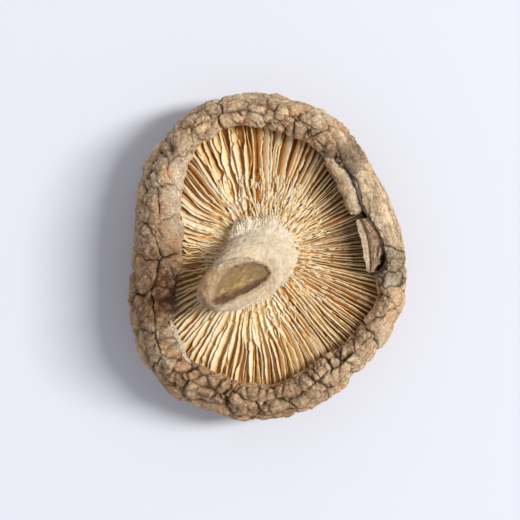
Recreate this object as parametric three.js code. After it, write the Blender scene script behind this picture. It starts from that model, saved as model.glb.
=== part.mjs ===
import * as THREE from "three";

// A dried shiitake mushroom, lying on the crown of its cap with the gills up, in millimetres, +Z up.
// +X and +Y run across and along the cap, which is longer along +Y. The origin is the middle of the flat
// spot on the crown that the mushroom rests on, on the surface below it.

// Outlines of the cap seen from above, as radii about the origin at equal steps from +X round to +Y
const capRadii = [
  21.7, 21.0, 22.2, 24.6, 26.0, 26.5, 25.1, 22.9, 21.7, 23.9, 26.2, 26.4, 25.6, 24.5, 22.9, 23.1,
];
const lipRadii = [
  15.4, 15.0, 15.4, 18.2, 19.9, 20.9, 18.4, 14.5, 13.3, 15.3, 19.2, 19.4, 19.5, 17.8, 17.6, 18.0,
];
const rimHeights = [15.0, 15.4, 15.8, 16.3, 17.0, 16.4, 15.4, 14.8];

// Cap
const restRadius = 6;
const widestHeight = 9.4;
const seatDepth = 5.8;
const capColumns = 120;
const cellSpacing = 5.2;
const creaseDepth = 0.95;
const creaseWidth = 0.5;
const domeDrop = 0.35;
const drawnWithin = 0.55;

// Gills
const gillCount = 88;
const gillThinnest = 0.6;
const gillShareOfRoom = 0.64;
const gillFootExtra = 0.06;
const gillFloor = 7.5;
const gillBase = 6.4;
const gillEdge = 10.2;
const gillInnerRadius = 6.0;
const gillTuck = 1.4;

// Stem
const stemBase = new THREE.Vector2(-1.0, 0.3);
const stemRadius = 5.5;
const stemColumns = 36;

const turn = 2 * Math.PI;

// A repeatable random number from 0 to 1 for each whole number.
function scatter(n) {
  const s = Math.sin(n * 12.9898 + 4.1414) * 43758.5453;
  return s - Math.floor(s);
}

// A smooth closed run of values round a full turn, through each value at its own equal step.
function round(values, angle) {
  const n = values.length;
  const at = ((((angle / turn) % 1) + 1) % 1) * n;
  const i = Math.floor(at);
  const t = at - i;
  const [a, b, c, d] = [-1, 0, 1, 2].map((k) => values[(i + k + n) % n]);
  return b + 0.5 * t * (c - a + t * (2 * a - 5 * b + 4 * c - d + t * (3 * (b - c) + d - a)));
}

// The strip of faces between two rings of points, which may hold different numbers of points. Each face
// takes the shorter way across.
function stripBetween(lower, upper, points, faces) {
  const widest = 1.001 / Math.min(lower.count, upper.count);
  let [i, j] = [0, 0];
  while (i < lower.count || j < upper.count) {
    const a = lower.start + (i % lower.count);
    const c = upper.start + (j % upper.count);
    const b = lower.start + ((i + 1) % lower.count);
    const d = upper.start + ((j + 1) % upper.count);
    const mayStepUpper = j < upper.count && (j + 1) / upper.count - i / lower.count <= widest;
    const mayStepLower = i < lower.count && (i + 1) / lower.count - j / upper.count <= widest;
    const shorterLower = points[b].distanceTo(points[c]) < points[a].distanceTo(points[d]);
    if (mayStepLower && (!mayStepUpper || shorterLower)) {
      faces.push(a, b, c);
      i++;
    } else {
      faces.push(a, d, c);
      j++;
    }
  }
}

// A solid from rings of points, each joined to the next. The ends close on a point each or, with no poles,
// on each other. The rings run so that the faces point out.
function solidOfRings(rings, firstPole, lastPole) {
  const points = rings.flat();
  const faces = [];
  const spans = [];
  rings.forEach((ring) => {
    const before = spans.at(-1);
    spans.push({ start: before ? before.start + before.count : 0, count: ring.length });
  });
  for (let j = 1; j < spans.length; j++) stripBetween(spans[j - 1], spans[j], points, faces);
  if (firstPole) {
    const [first, last] = [spans[0], spans.at(-1)];
    for (let i = 0; i < first.count; i++) faces.push(points.length, (i + 1) % first.count, i);
    for (let i = 0; i < last.count; i++) {
      faces.push(points.length + 1, last.start + i, last.start + ((i + 1) % last.count));
    }
    points.push(firstPole, lastPole);
  } else {
    stripBetween(spans.at(-1), spans[0], points, faces);
  }
  const geometry = new THREE.BufferGeometry().setFromPoints(points);
  geometry.setIndex(faces);
  geometry.computeVertexNormals();
  return geometry;
}

function part(name, geometry, color, roughness) {
  const material = new THREE.MeshStandardMaterial({ color, roughness, metalness: 0 });
  const mesh = new THREE.Mesh(geometry, material);
  mesh.name = name;
  return mesh;
}

// Cap: the half section at one angle, from the crown on the surface, out and up over the rolled rim,
// in to the lip that hides the gills' ends, and back under them along the flesh.
function capSection(angle) {
  const out = round(capRadii, angle);
  const lip = round(lipRadii, angle);
  const top = round(rimHeights, angle);
  const roll = out - lip;
  return new THREE.SplineCurve(
    [
      [0, 0],
      [restRadius, 0],
      [0.63 * out, 1.3],
      [0.885 * out, 4.7],
      [out, widestHeight],
      [out - 0.16 * roll, top - 2.6],
      [out - 0.5 * roll, top],
      [lip + 0.14 * roll, top - 1.3],
      [lip, top - 3.1],
      [lip + 0.7, 11.3],
      [lip + 1.9, 10.6],
      [lip + 2.0, 7.4],
      [lip + 1.9, seatDepth + 0.1],
      [5, seatDepth],
      [0, seatDepth],
    ].map(([r, z]) => new THREE.Vector2(r, z)),
  );
}

const sectionSpans = 14;
const lipSpan = 8;
// How many rings lie in each span of the section, from the crown to the middle of the seat.
const ringsInSpan = [1, 5, 5, 4, 3, 3, 3, 2, 1, 1, 1, 1, 2];

function sectionPlace(section, angle, t) {
  const p = section.getPoint(t);
  return new THREE.Vector3(p.x * Math.cos(angle), p.x * Math.sin(angle), Math.max(0, p.y));
}

// Middles of the skin's cobbles, in staggered rows from the crown to the lip.
function cobbleMiddles() {
  const typical = capSection(Math.PI / 4);
  typical.arcLengthDivisions = 600;
  const length = typical.getLength();
  const middles = [];
  for (let along = 0.5 * cellSpacing, row = 0; ; along += 0.92 * cellSpacing, row++) {
    const t = typical.getUtoTmapping(along / length);
    if (t > lipSpan / sectionSpans) return middles;
    const around = Math.max(4, Math.round((turn * typical.getPoint(t).x) / cellSpacing));
    for (let i = 0; i < around; i++) {
      const n = 97 * row + i;
      const angle = (turn * (i + 0.5 * (row % 2) + 0.5 * (scatter(n) - 0.5))) / around;
      const shifted = t + (0.8 * (scatter(n + 5000) - 0.5)) / sectionSpans;
      middles.push(sectionPlace(capSection(angle), angle, shifted));
    }
  }
}

// The crack along the torn part of the rim, seen from above.
const tearPath = new THREE.SplineCurve(
  [
    [12.5, 13.3],
    [14.0, 10.1],
    [15.0, 7.0],
    [16.6, 5.1],
    [18.0, 2.3],
    [18.3, 0.0],
    [17.4, -1.8],
  ].map(([x, y]) => new THREE.Vector2(x, y)),
).getPoints(40);
const tearDepth = 1.4;
const tearWidth = 0.8;

// The skin point at an angle and a place t along the section, with its cobbles, creases and tear.
function skinPoint(section, angle, t, middles) {
  const place = sectionPlace(section, angle, t);
  const span = t * sectionSpans;
  if (span <= 1.001 || span > lipSpan + 0.6) return place;
  // Crease line between the two nearest cobbles, with the point drawn onto it where it is close.
  const near = middles.map((m) => [m.distanceTo(place), m]).sort((a, b) => a[0] - b[0]);
  const [[toFirst, first], [toSecond, second]] = near;
  const across = second.clone().sub(first);
  const toCrease = (toSecond ** 2 - toFirst ** 2) / (2 * across.length());
  const drawn = toCrease < drawnWithin;
  if (drawn) place.addScaledVector(across.normalize(), toCrease);
  place.z = Math.max(0, place.z);
  const crease = drawn ? 1 : Math.exp(-((toCrease / creaseWidth) ** 2));
  const dome = domeDrop * Math.min(1, 3 * (toFirst / cellSpacing) ** 2);
  const onRim = THREE.MathUtils.smoothstep(span, 3, 5);
  const tear = Math.min(...tearPath.map((p) => Math.hypot(p.x - place.x, p.y - place.y)));
  const torn = onRim * Math.exp(-((tear / tearWidth) ** 2));
  const fadeIn = THREE.MathUtils.smoothstep(span, 1, 1.3);
  const fadeOut = 1 - THREE.MathUtils.smoothstep(span, lipSpan - 0.4, lipSpan + 0.5);
  const depth = Math.max(creaseDepth * crease, tearDepth * torn) + dome;
  const along = section.getTangent(t);
  const inward = new THREE.Vector3(-along.y * Math.cos(angle), -along.y * Math.sin(angle), along.x);
  return place.addScaledVector(inward, depth * fadeIn * fadeOut);
}

function capGeometry() {
  const middles = cobbleMiddles();
  const typical = capSection(0);
  const rings = [];
  ringsInSpan.forEach((count, span) => {
    for (let k = 1; k <= count; k++) {
      const t = (span + k / count) / sectionSpans;
      // Fewer points round the crown and the middle of the seat, so that the faces stay even.
      const halvings = Math.max(0, Math.ceil(Math.log2(13.5 / typical.getPoint(t).x)));
      const columns = capColumns / 2 ** Math.min(2, halvings);
      rings.push(Array.from({ length: columns }, (_, i) => {
        const angle = (turn * i) / columns;
        return skinPoint(capSection(angle), angle, t, middles);
      }));
    }
  });
  return solidOfRings(rings, new THREE.Vector3(0, 0, 0), new THREE.Vector3(0, 0, seatDepth));
}

// Gills: blades that stand on a thin bed and run from the stem out under the lip. Every second one starts
// part of the way out, as the short gills between the long ones do. Each has four lines along it, its two
// feet and the two sides of its edge, and the bed shows between them.
const gillStations = [0, 0.08, 0.2, 0.34, 0.49, 0.64, 0.79, 0.92, 1];
const shortStart = 12.4;
const middleStart = 8.2;

function gillGeometry() {
  const lines = [-1, -1, 1, 1];
  const rings = gillStations.map((s) => {
    const ring = [];
    for (let k = 0; k < gillCount; k++) {
      const middle = (turn * k) / gillCount;
      const outer = round(lipRadii, middle) + gillTuck;
      const radius = gillInnerRadius + s * (outer - gillInnerRadius);
      const late = 3 * scatter(k + 700);
      const start = k % 4 === 0 ? 0 : (k % 2 === 0 ? middleStart : shortStart) + late;
      const grown = start ? THREE.MathUtils.smoothstep(radius, start - 0.6, start + 1.4) : 1;
      const period = turn / gillCount;
      const room = radius * period;
      const free = radius < middleStart ? 4 : radius < shortStart ? 2 : 1;
      const wide = Math.max(gillThinnest, Math.min(gillShareOfRoom * room * free, 1.3 * room - 0.12));
      const sway = 0.5 * Math.sin(3 * middle + 5 * s) + 0.15 * (scatter(k) - 0.5) * Math.sin(8 * s + k);
      const bend = Math.sin(Math.PI * s) * sway * period;
      const half = THREE.MathUtils.lerp(0.03, 0.5 * wide, grown) / radius;
      const foot = half + (gillFootExtra * grown + 0.01) / radius;
      const arch = -0.5 * Math.cos(turn * s) - 0.5 + 0.5 * (scatter(k + 300) - 0.5);
      const edge = gillEdge + arch * (s < 0.5 ? 0.4 : 0.9) * Math.sqrt(Math.sin(Math.PI * s)) - 0.3 * s;
      const height = THREE.MathUtils.lerp(gillFloor, edge, grown);
      lines.forEach((side, line) => {
        const isFoot = line === 0 || line === 3;
        const angle = middle + bend + side * (isFoot ? foot : half);
        const reach = round(lipRadii, angle) + gillTuck;
        const inner = new THREE.Vector2(Math.cos(angle), Math.sin(angle)).multiplyScalar(gillInnerRadius);
        const far = new THREE.Vector2(Math.cos(angle), Math.sin(angle)).multiplyScalar(reach);
        const place = inner.add(stemBase).lerp(far, s);
        ring.push(new THREE.Vector3(place.x, place.y, isFoot ? gillFloor : height));
      });
    }
    return ring;
  });
  const below = (ring) => ring.map((p) => new THREE.Vector3(p.x, p.y, gillBase));
  rings.push(below(rings[rings.length - 1]), below(rings[0]));
  rings.reverse();
  return solidOfRings(rings);
}

// Stem: a stout foot that flares in a collar over the gills' inner ends, leans over, and is cut off on
// the slant. Its cut face bows out on one side, lies a little aside of the stem's end and turned from it,
// and has shrunk into a hollow with a rolled edge.
const cutMiddle = new THREE.Vector3(-5.0, -4.4, 20.0);
const cutLong = new THREE.Vector3(-4.9, -1.6, 1.6);
const cutAcross = new THREE.Vector3(0.7, -2.25, -0.5);
const cutNormal = cutLong.clone().cross(cutAcross).normalize();
const cutBow = 0.45;
const faceShift = new THREE.Vector2(-0.115, 0.126);
const faceTwist = 0.35;

function stemGeometry() {
  const level = (x, y, z, long, across) => ({
    middle: new THREE.Vector3(x, y, z),
    long: cutLong.clone().setZ(0).setLength(long),
    across: cutAcross.clone().setZ(0).setLength(across),
    bow: 0,
  });
  const [x, y] = stemBase.toArray();
  const tilted = (longShare, acrossShare, sunk, bow, aside, face) => ({
    middle: cutMiddle.clone()
      .addScaledVector(cutNormal, -sunk)
      .addScaledVector(cutLong, face * faceShift.x)
      .addScaledVector(cutAcross, aside + face * faceShift.y),
    long: cutLong.clone().addScaledVector(cutAcross, face * faceTwist).multiplyScalar(longShare),
    across: cutAcross.clone().multiplyScalar(acrossShare),
    bow,
  });
  const levels = [
    level(x, y, gillBase, stemRadius, stemRadius),
    level(x, y, 10.7, stemRadius, stemRadius),
    level(x - 0.1, y, 11.0, 5.6, 5.6),
    level(x - 0.3, y - 0.2, 11.7, 5.6, 5.7),
    level(x - 0.9, y - 1.2, 12.8, 5.3, 5.1),
    level(x - 1.9, y - 2.2, 14.5, 5.5, 5.1),
    level(x - 2.7, y - 3.2, 16.3, 5.8, 4.8),
    tilted(1.1, 1.65, 2.3, 0, 0, 0.3),
    tilted(1.08, 1.5, 1.1, 0.1, 0.02, 0.3),
    tilted(1.05, 1.22, 0.35, 0.36, 0.03, 0.6),
    tilted(0.98, 1.0, 0, cutBow, 0.02, 1),
    tilted(0.86, 0.85, 0.2, cutBow, 0.02, 1),
    tilted(0.7, 0.63, 0.9, cutBow, 0, 1),
    tilted(0.33, 0.28, 1.1, cutBow, 0, 1),
  ];
  const lobeHeights = [0, 0, 0.05, 0.06, 0.04, 0.025, 0.02, 0.02, 0.01, 0.01];
  const rings = levels.map(({ middle, long, across, bow }, row) => {
    return Array.from({ length: stemColumns }, (_, i) => {
      const a = (turn * i) / stemColumns;
      const lobes = (lobeHeights[row] ?? 0) * (Math.sin(5 * a + 0.5 * row) + 0.6 * Math.sin(9 * a + 1));
      const side = Math.sin(a) - bow * Math.sin(a) ** 2;
      const place = middle.clone().addScaledVector(long, Math.cos(a) * (1 + lobes));
      return place.addScaledVector(across, side * (1 + lobes));
    });
  });
  const foot = new THREE.Vector3(x, y, gillBase);
  const hollow = tilted(0, 0, 1.15, 0, -0.1, 1).middle;
  return solidOfRings(rings, foot, hollow);
}

const mushroom = new THREE.Group();
mushroom.add(part("cap", capGeometry(), 0xa9896a, 0.85));
mushroom.add(part("gills", gillGeometry(), 0xdcc08c, 0.8));
mushroom.add(part("stem", stemGeometry(), 0xdcc8a6, 0.9));

export default mushroom;
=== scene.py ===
import bpy
import numpy as np
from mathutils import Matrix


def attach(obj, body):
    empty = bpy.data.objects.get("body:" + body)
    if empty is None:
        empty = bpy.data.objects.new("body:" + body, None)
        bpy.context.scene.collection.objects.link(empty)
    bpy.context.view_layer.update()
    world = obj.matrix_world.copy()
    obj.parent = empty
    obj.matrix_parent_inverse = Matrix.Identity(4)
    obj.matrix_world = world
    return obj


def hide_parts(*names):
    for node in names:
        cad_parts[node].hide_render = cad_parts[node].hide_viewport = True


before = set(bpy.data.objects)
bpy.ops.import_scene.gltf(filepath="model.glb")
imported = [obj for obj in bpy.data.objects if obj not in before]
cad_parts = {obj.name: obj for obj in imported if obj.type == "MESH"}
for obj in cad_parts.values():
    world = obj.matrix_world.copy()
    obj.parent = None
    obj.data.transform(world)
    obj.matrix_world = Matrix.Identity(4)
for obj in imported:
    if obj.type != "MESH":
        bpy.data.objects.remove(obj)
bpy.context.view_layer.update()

# Table: the mushroom lies gills up on smooth white card, which is slightly blue under daylight. A broad
# lamp as soft as a window stands high at the right, and the white room fills the shadows.


def linear(hex_colour):
    """The linear colour of an sRGB hex value: each channel below 0.04045 over 12.92, and above it
    ((value + 0.055) / 1.055) to the power 2.4."""
    channels = [int(hex_colour[i:i + 2], 16) / 255 for i in (1, 3, 5)]
    return [c / 12.92 if c <= 0.04045 else ((c + 0.055) / 1.055) ** 2.4 for c in channels] + [1.0]


def add(tree, kind, sockets=None, **settings):
    """Adds a node of one kind with its settings. A socket given another node's output is linked to it,
    and any other value is set on the socket."""
    made = tree.nodes.new(kind)
    for key, value in settings.items():
        setattr(made, key, value)
    for key, value in (sockets or {}).items():
        if isinstance(value, bpy.types.NodeSocket):
            tree.links.new(value, made.inputs[key])
        else:
            made.inputs[key].default_value = value
    return made


def empty_material(name):
    """A material with no nodes in it yet, and its node tree."""
    made = bpy.data.materials.new(name)
    made.use_nodes = True
    made.node_tree.nodes.clear()
    return made, made.node_tree


MM = 0.001
card_half = 400 * MM
card_mesh = bpy.data.meshes.new("card")
card_corners = [(card_half * x, card_half * y, 0) for x, y in ((-1, -1), (1, -1), (1, 1), (-1, 1))]
card_mesh.from_pydata(card_corners, [], [(0, 1, 2, 3)])
card = bpy.data.objects.new("card", card_mesh)
bpy.context.scene.collection.objects.link(card)

# Coated card: matt, so it gives the lamp back as a soft even white.
card_material, tree = empty_material("coated_card")
shader = add(tree, "ShaderNodeBsdfPrincipled", {"Base Color": linear("#e1e3eb"), "Roughness": 0.9})
add(tree, "ShaderNodeOutputMaterial", {"Surface": shader.outputs["BSDF"]})
card_mesh.materials.append(card_material)

camera_data = bpy.data.cameras.new("camera")
camera_data.sensor_width = 36.0
camera_data.lens = 174.5
camera = bpy.data.objects.new("camera", camera_data)
camera.location = (-1.35 * MM, -0.40 * MM, 409.4 * MM)
bpy.context.scene.collection.objects.link(camera)
bpy.context.scene.camera = camera

lamp_data = bpy.data.lights.new("window", "AREA")
lamp_data.shape = "RECTANGLE"
lamp_data.size = 0.9
lamp_data.size_y = 0.26
lamp_data.energy = 30.0
lamp_data.color = (1.0, 0.985, 0.96)
lamp = bpy.data.objects.new("window", lamp_data)
lamp_azimuth, lamp_elevation, lamp_distance = np.radians(9), np.radians(51), 1.8
lamp.location = lamp_distance * np.array([
    np.cos(lamp_elevation) * np.cos(lamp_azimuth),
    np.cos(lamp_elevation) * np.sin(lamp_azimuth),
    np.sin(lamp_elevation),
])
lamp.rotation_euler = (0, np.pi / 2 - lamp_elevation, lamp_azimuth)
bpy.context.scene.collection.objects.link(lamp)

room = bpy.data.worlds.new("white_room")
room.use_nodes = True
room.node_tree.nodes["Background"].inputs["Color"].default_value = linear("#eceef8")
room.node_tree.nodes["Background"].inputs["Strength"].default_value = 0.52
bpy.context.scene.world = room
bpy.context.scene.view_settings.view_transform = "Standard"

# Cap: the thick convex disc of the mushroom, crown down, with its rim rolled up and in. Dried, its
# skin has shrunk into domed cobbles with narrow creases, and it is flesh all through.
cap_radii = [21.7, 21.0, 22.2, 24.6, 26.0, 26.5, 25.1, 22.9, 21.7, 23.9, 26.2, 26.4, 25.6, 24.5, 22.9, 23.1]
lip_radii = [15.4, 15.0, 15.4, 18.2, 19.9, 20.9, 18.4, 14.5, 13.3, 15.3, 19.2, 19.4, 19.5, 17.8, 17.6, 18.0]
rim_heights = [15.0, 15.4, 15.8, 16.3, 17.0, 16.4, 15.4, 14.8]
rest_radius = 6
widest_height = 9.4
seat_depth = 5.8
cap_columns = 736
cell_spacing = 5.2
# Steps round the rim are counted in millimetres at this radius.
rim_radius = 21
turn = 2 * np.pi


def signed(angle):
    """The same angle, counted from minus half a turn to plus half a turn."""
    return (angle + np.pi) % turn - np.pi


def scatter(n):
    """A repeatable random number from 0 to 1 for each number: the fraction of
    43758.5453 times the sine of n times 12.9898 plus 4.1414."""
    s = np.sin(n * 12.9898 + 4.1414) * 43758.5453
    return s - np.floor(s)


def clouds(points, size, seed=0.0):
    """Smooth noise from -1 to 1 with lumps of the given size: random values on the corners of a cubic
    lattice, blended over each cube by 3f^2 - 2f^3 along each axis."""
    at = points / size
    corner = np.floor(at)
    f = at - corner
    f = f * f * (3 - 2 * f)
    total = np.zeros(points.shape[:-1])
    for dx in (0, 1):
        for dy in (0, 1):
            for dz in (0, 1):
                c = corner + (dx, dy, dz)
                weight = (
                    np.abs(1 - dx - f[..., 0]) * np.abs(1 - dy - f[..., 1]) * np.abs(1 - dz - f[..., 2])
                )
                total += weight * scatter(c[..., 0] * 12.713 + c[..., 1] * 31.171 + c[..., 2] * 74.797 + seed)
    return 2 * total - 1


def noise(points, *layers):
    """Sum of clouds, each given as its strength, the size of its lumps and its seed."""
    return sum(strength * clouds(points, size, seed) for strength, size, seed in layers)


def around(values, angle):
    """A smooth closed run of values round a full turn: the uniform Catmull-Rom cubic through each value
    at its own equal step."""
    values = np.asarray(values)
    at = (angle / turn % 1) * len(values)
    i = np.floor(at).astype(int)
    t = at - i
    a, b, c, d = [values[(i + k) % len(values)] for k in (-1, 0, 1, 2)]
    return b + 0.5 * t * (c - a + t * (2 * a - 5 * b + 4 * c - d + t * (3 * (b - c) + d - a)))


def along(points, t):
    """The place at each share t of the way along an open run of points, by the uniform Catmull-Rom cubic,
    with its end points doubled. The points, and then the shares, are on the last axis but one."""
    last = points.shape[-2] - 1
    at = np.clip(t, 0, 1) * last
    i = np.minimum(np.floor(at).astype(int), last - 1)
    w = (at - i)[..., None]
    a, b, c, d = [np.take(points, np.clip(i + k, 0, last), axis=-2) for k in (-1, 0, 1, 2)]
    v, u = (c - a) / 2, (d - b) / 2
    return (2 * b - 2 * c + v + u) * w ** 3 + (-3 * b + 3 * c - 2 * v - u) * w ** 2 + v * w + b


def cap_section(angle):
    """The half section of the cap at each angle as 15 points of radius and height: the crown on the
    surface, out and up over the rolled rim, in to the lip, and back under the gills."""
    out, lip, top = around(cap_radii, angle), around(lip_radii, angle), around(rim_heights, angle)
    roll = out - lip
    flat = np.zeros_like(out)
    points = [
        (flat, flat), (flat + rest_radius, flat), (0.63 * out, flat + 1.3), (0.885 * out, flat + 4.7),
        (out, flat + widest_height), (out - 0.16 * roll, top - 2.6), (out - 0.5 * roll, top),
        (lip + 0.14 * roll, top - 1.3), (lip, top - 3.1), (lip + 0.7, flat + 11.3), (lip + 1.9, flat + 10.6),
        (lip + 2.0, flat + 7.4), (lip + 1.9, flat + seat_depth + 0.1), (flat + 5, flat + seat_depth),
        (flat, flat + seat_depth),
    ]
    return np.stack([np.stack(p, axis=-1) for p in points], axis=-2)


section_spans = 14
lip_span = 8


def cobble_middles():
    """Middles of the cobbles: staggered rows at equal steps along the section, each with as many cobbles
    round it as fit, moved at random by up to a quarter of a step round it and 0.4 of a span along it."""
    typical = cap_section(np.array(turn / 8))
    shares = np.linspace(0, 1, 601)
    steps = np.diff(along(typical, shares), axis=0)
    lengths = np.concatenate([[0], np.cumsum(np.linalg.norm(steps, axis=1))])
    found = []
    for row in range(200):
        t = np.interp((0.5 + 0.92 * row) * cell_spacing, lengths, shares)
        if t > lip_span / section_spans:
            break
        count = max(4, int(np.floor(turn * along(typical, np.array([t]))[0, 0] / cell_spacing + 0.5)))
        n = 97.0 * row + np.arange(count)
        angle = turn * (np.arange(count) + 0.5 * (row % 2) + 0.5 * (scatter(n) - 0.5)) / count
        shifted = t + 0.8 * (scatter(n + 5000) - 0.5) / section_spans
        out, up = along(cap_section(angle), shifted)[np.arange(count), np.arange(count)].T
        found.append(np.stack([out * np.cos(angle), out * np.sin(angle), up], axis=-1))
    return np.concatenate(found)


def nearest_crease(points, middles):
    """Distance from each point to the plane halfway between its two nearest middles, and a random number
    of its cell: (second distance squared - first squared) over twice the distance of the two middles."""
    crease, cell = np.empty(len(points)), np.empty(len(points))
    batch = 8192
    for start in range(0, len(points), batch):
        here = slice(start, start + batch)
        p = points[here]
        gap = (p ** 2).sum(1)[:, None] - 2 * p @ middles.T + (middles ** 2).sum(1)
        two = np.argpartition(gap, 1, axis=1)[:, :2]
        near = np.take_along_axis(gap, two, axis=1)
        order = np.argsort(near, axis=1)
        two, near = np.take_along_axis(two, order, axis=1), np.take_along_axis(near, order, axis=1)
        across = np.linalg.norm(middles[two[:, 1]] - middles[two[:, 0]], axis=1)
        crease[here] = (near[:, 1] - near[:, 0]) / (2 * across)
        cell[here] = scatter(two[:, 0] * 1.7)
    return crease, cell


def folds(angle, length, step_round, step_along, seed):
    """Distance to the nearest border of a jittered grid of cells laid on the skin, round the rim by
    along the section: half the difference of the two smallest distances to the cells' middles."""
    count = int(turn * rim_radius / step_round)
    u, v = angle / turn * count, length / step_along
    first, second = np.full(angle.shape, 9.0), np.full(angle.shape, 9.0)
    for du in (-2, -1, 0, 1, 2):
        for dv in (-1, 0, 1):
            i, j = np.floor(u) + du, np.floor(v) + dv
            n = (i % count) * 3.17 + j * 57.3 + seed
            away = np.hypot(
                (i + 0.5 + 0.8 * (scatter(n) - 0.5) - u) * step_round,
                (j + 0.5 + 0.9 * (scatter(n + 71) - 0.5) - v) * step_along * 0.55,
            )
            second = np.minimum(second, np.maximum(first, away))
            first = np.minimum(first, away)
    return (second - first) / 2


def smooth(x, low, high):
    """0 below low and 1 above high, by 3f^2 - 2f^3 between."""
    f = np.clip((x - low) / (high - low), 0, 1)
    return f * f * (3 - 2 * f)


def within(x, start, full, fading, gone):
    """1 from full to fading and 0 outside start to gone, by 3f^2 - 2f^3 between."""
    return smooth(x, start, full) * (1 - smooth(x, fading, gone))


def bell(x, width):
    """1 at 0, falling away on both sides: e to the minus squared x over width."""
    return np.exp(-((x / width) ** 2))


def spot(points, x, y, wide, tall=None, turned=0.0):
    """A soft round or oval patch seen from above: e to the minus squared distance from its middle, with
    the distances along and across counted in its two half widths."""
    c, s = np.cos(turned), np.sin(turned)
    dx, dy = points[..., 0] - x, points[..., 1] - y
    return np.exp(-(((c * dx + s * dy) / wide) ** 2) - (((c * dy - s * dx) / (tall or wide)) ** 2))


def spots(points, *patches):
    """Sum of soft patches, each given as its strength and then as spot takes it."""
    return sum(strength * spot(points, *patch) for strength, *patch in patches)


def near_path(points, path, samples):
    """Distance, seen from above, from each point to the nearest of many samples of a smooth path."""
    run = along(path[None], np.linspace(0, 1, samples))[0]
    return np.hypot(points[..., 0, None] - run[:, 0], points[..., 1, None] - run[:, 1]).min(axis=-1)


def pillow(distance, width):
    """How far a rounded cobble falls away at a distance from its border: nearly 1 on the border and 0
    from the width inwards, along a quarter of a circle."""
    x = 1 - np.clip(distance / width, 0, 1)
    return 1 - np.sqrt(1 - 0.97 * x ** 2)


def normals_of(grid):
    """Unit normals of a grid of points whose columns close on themselves: the cross product of the
    steps between neighbours along the columns and along the rows."""
    column_step = np.roll(grid, -1, axis=1) - np.roll(grid, 1, axis=1)
    n = np.cross(column_step, np.gradient(grid, axis=0))
    return n / np.maximum(np.linalg.norm(n, axis=-1, keepdims=True), 1e-9)


def mesh_of(name, points, faces, attributes=None):
    """A smooth mesh piece from points in millimetres and arrays of faces, with its attributes."""
    made = bpy.data.meshes.new(name)
    made.vertices.add(len(points))
    made.vertices.foreach_set("co", (points * MM).astype(np.float32).ravel())
    sizes = np.concatenate([np.full(len(f), f.shape[1]) for f in faces])
    made.loops.add(int(sizes.sum()))
    made.loops.foreach_set("vertex_index", np.concatenate([f.ravel() for f in faces]).astype(np.int32))
    made.polygons.add(len(sizes))
    made.polygons.foreach_set("loop_start", np.concatenate([[0], np.cumsum(sizes)[:-1]]).astype(np.int32))
    made.polygons.foreach_set("use_smooth", np.ones(len(sizes), bool))
    made.update(calc_edges=True)
    made.validate()
    for key, values in (attributes or {}).items():
        vectors = values.size == 3 * len(points)
        stored = made.attributes.new(key, "FLOAT_VECTOR" if vectors else "FLOAT", "POINT")
        stored.data.foreach_set("vector" if vectors else "value", values.astype(np.float32).ravel())
    piece = bpy.data.objects.new(name, made)
    bpy.context.scene.collection.objects.link(piece)
    return piece


def closed_grid(name, grid, poles=None, attributes=None):
    """A closed piece from a grid of points whose columns close on themselves. Each row joins the next,
    and the end rows close on a pole each or, without poles, on each other."""
    rows, columns = grid.shape[:2]
    index = np.arange(rows * columns).reshape(rows, columns)
    beside = np.roll(index, -1, axis=1)
    if poles is None:
        above, above_beside = np.roll(index, -1, axis=0), np.roll(beside, -1, axis=0)
        faces = [np.stack([index, beside, above_beside, above], axis=-1).reshape(-1, 4)]
        points = grid.reshape(-1, 3)
    else:
        faces = [np.stack([index[:-1], beside[:-1], beside[1:], index[1:]], axis=-1).reshape(-1, 4)]
        first, last = rows * columns, rows * columns + 1
        faces.append(np.stack([np.full(columns, first), beside[0], index[0]], axis=-1))
        faces.append(np.stack([np.full(columns, last), index[-1], beside[-1]], axis=-1))
        points = np.concatenate([grid.reshape(-1, 3), np.asarray(poles, float)])
        attributes = {
            k: np.concatenate([v.reshape(rows * columns, -1), v[[0, -1]].mean(axis=1).reshape(2, -1)])
            for k, v in (attributes or {}).items()
        }
    return mesh_of(name, points, faces, attributes)


# Rows lie closest together over the rim, where the skin shows most.
cap_rows = np.concatenate([
    np.linspace(0.35, 2.4, 14, endpoint=False),
    np.linspace(2.4, 9.0, 110, endpoint=False),
    np.linspace(9.0, 13.6, 8),
])
cap_angles = np.arange(cap_columns) * turn / cap_columns
cap_sections = cap_section(cap_angles)
cap_plane = along(cap_sections, cap_rows / section_spans).transpose(1, 0, 2)
cap_span = cap_rows[:, None] * np.ones(cap_columns)
cap_angle = np.ones(len(cap_rows))[:, None] * cap_angles

# The torn part of the rim at the right ends on a wall along the crack, seen from above as this line.
crack = np.array([
    (11.4, 14.6), (12.6, 13.3), (13.9, 10.3), (14.8, 7.6), (16.0, 5.9), (17.2, 4.1), (18.2, 1.9),
    (18.7, -0.2), (18.0, -1.7), (16.4, -2.9),
])
crack_angle = np.arctan2(crack[:, 1], crack[:, 0])[::-1]
crack_radius = np.hypot(crack[:, 0], crack[:, 1])[::-1]
signed_angle = signed(cap_angle)
wall = np.interp(signed_angle, crack_angle, crack_radius)
torn = within(signed_angle, crack_angle[0] - 0.02, crack_angle[1], 0.80, 0.92)
radius, height = cap_plane[..., 0], cap_plane[..., 1]
inside_top = smooth(cap_span, 5.6, 6.2)
radius = radius + torn * inside_top * np.maximum(0, wall - radius)

cap_places = np.stack([
    radius * np.cos(cap_angle), radius * np.sin(cap_angle), np.maximum(0, height),
], axis=-1)
cap_normals = normals_of(cap_places)
step = np.linalg.norm(np.diff(cap_plane, axis=0, prepend=cap_plane[:1]), axis=-1)
cap_length = np.cumsum(step, axis=0)

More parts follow.
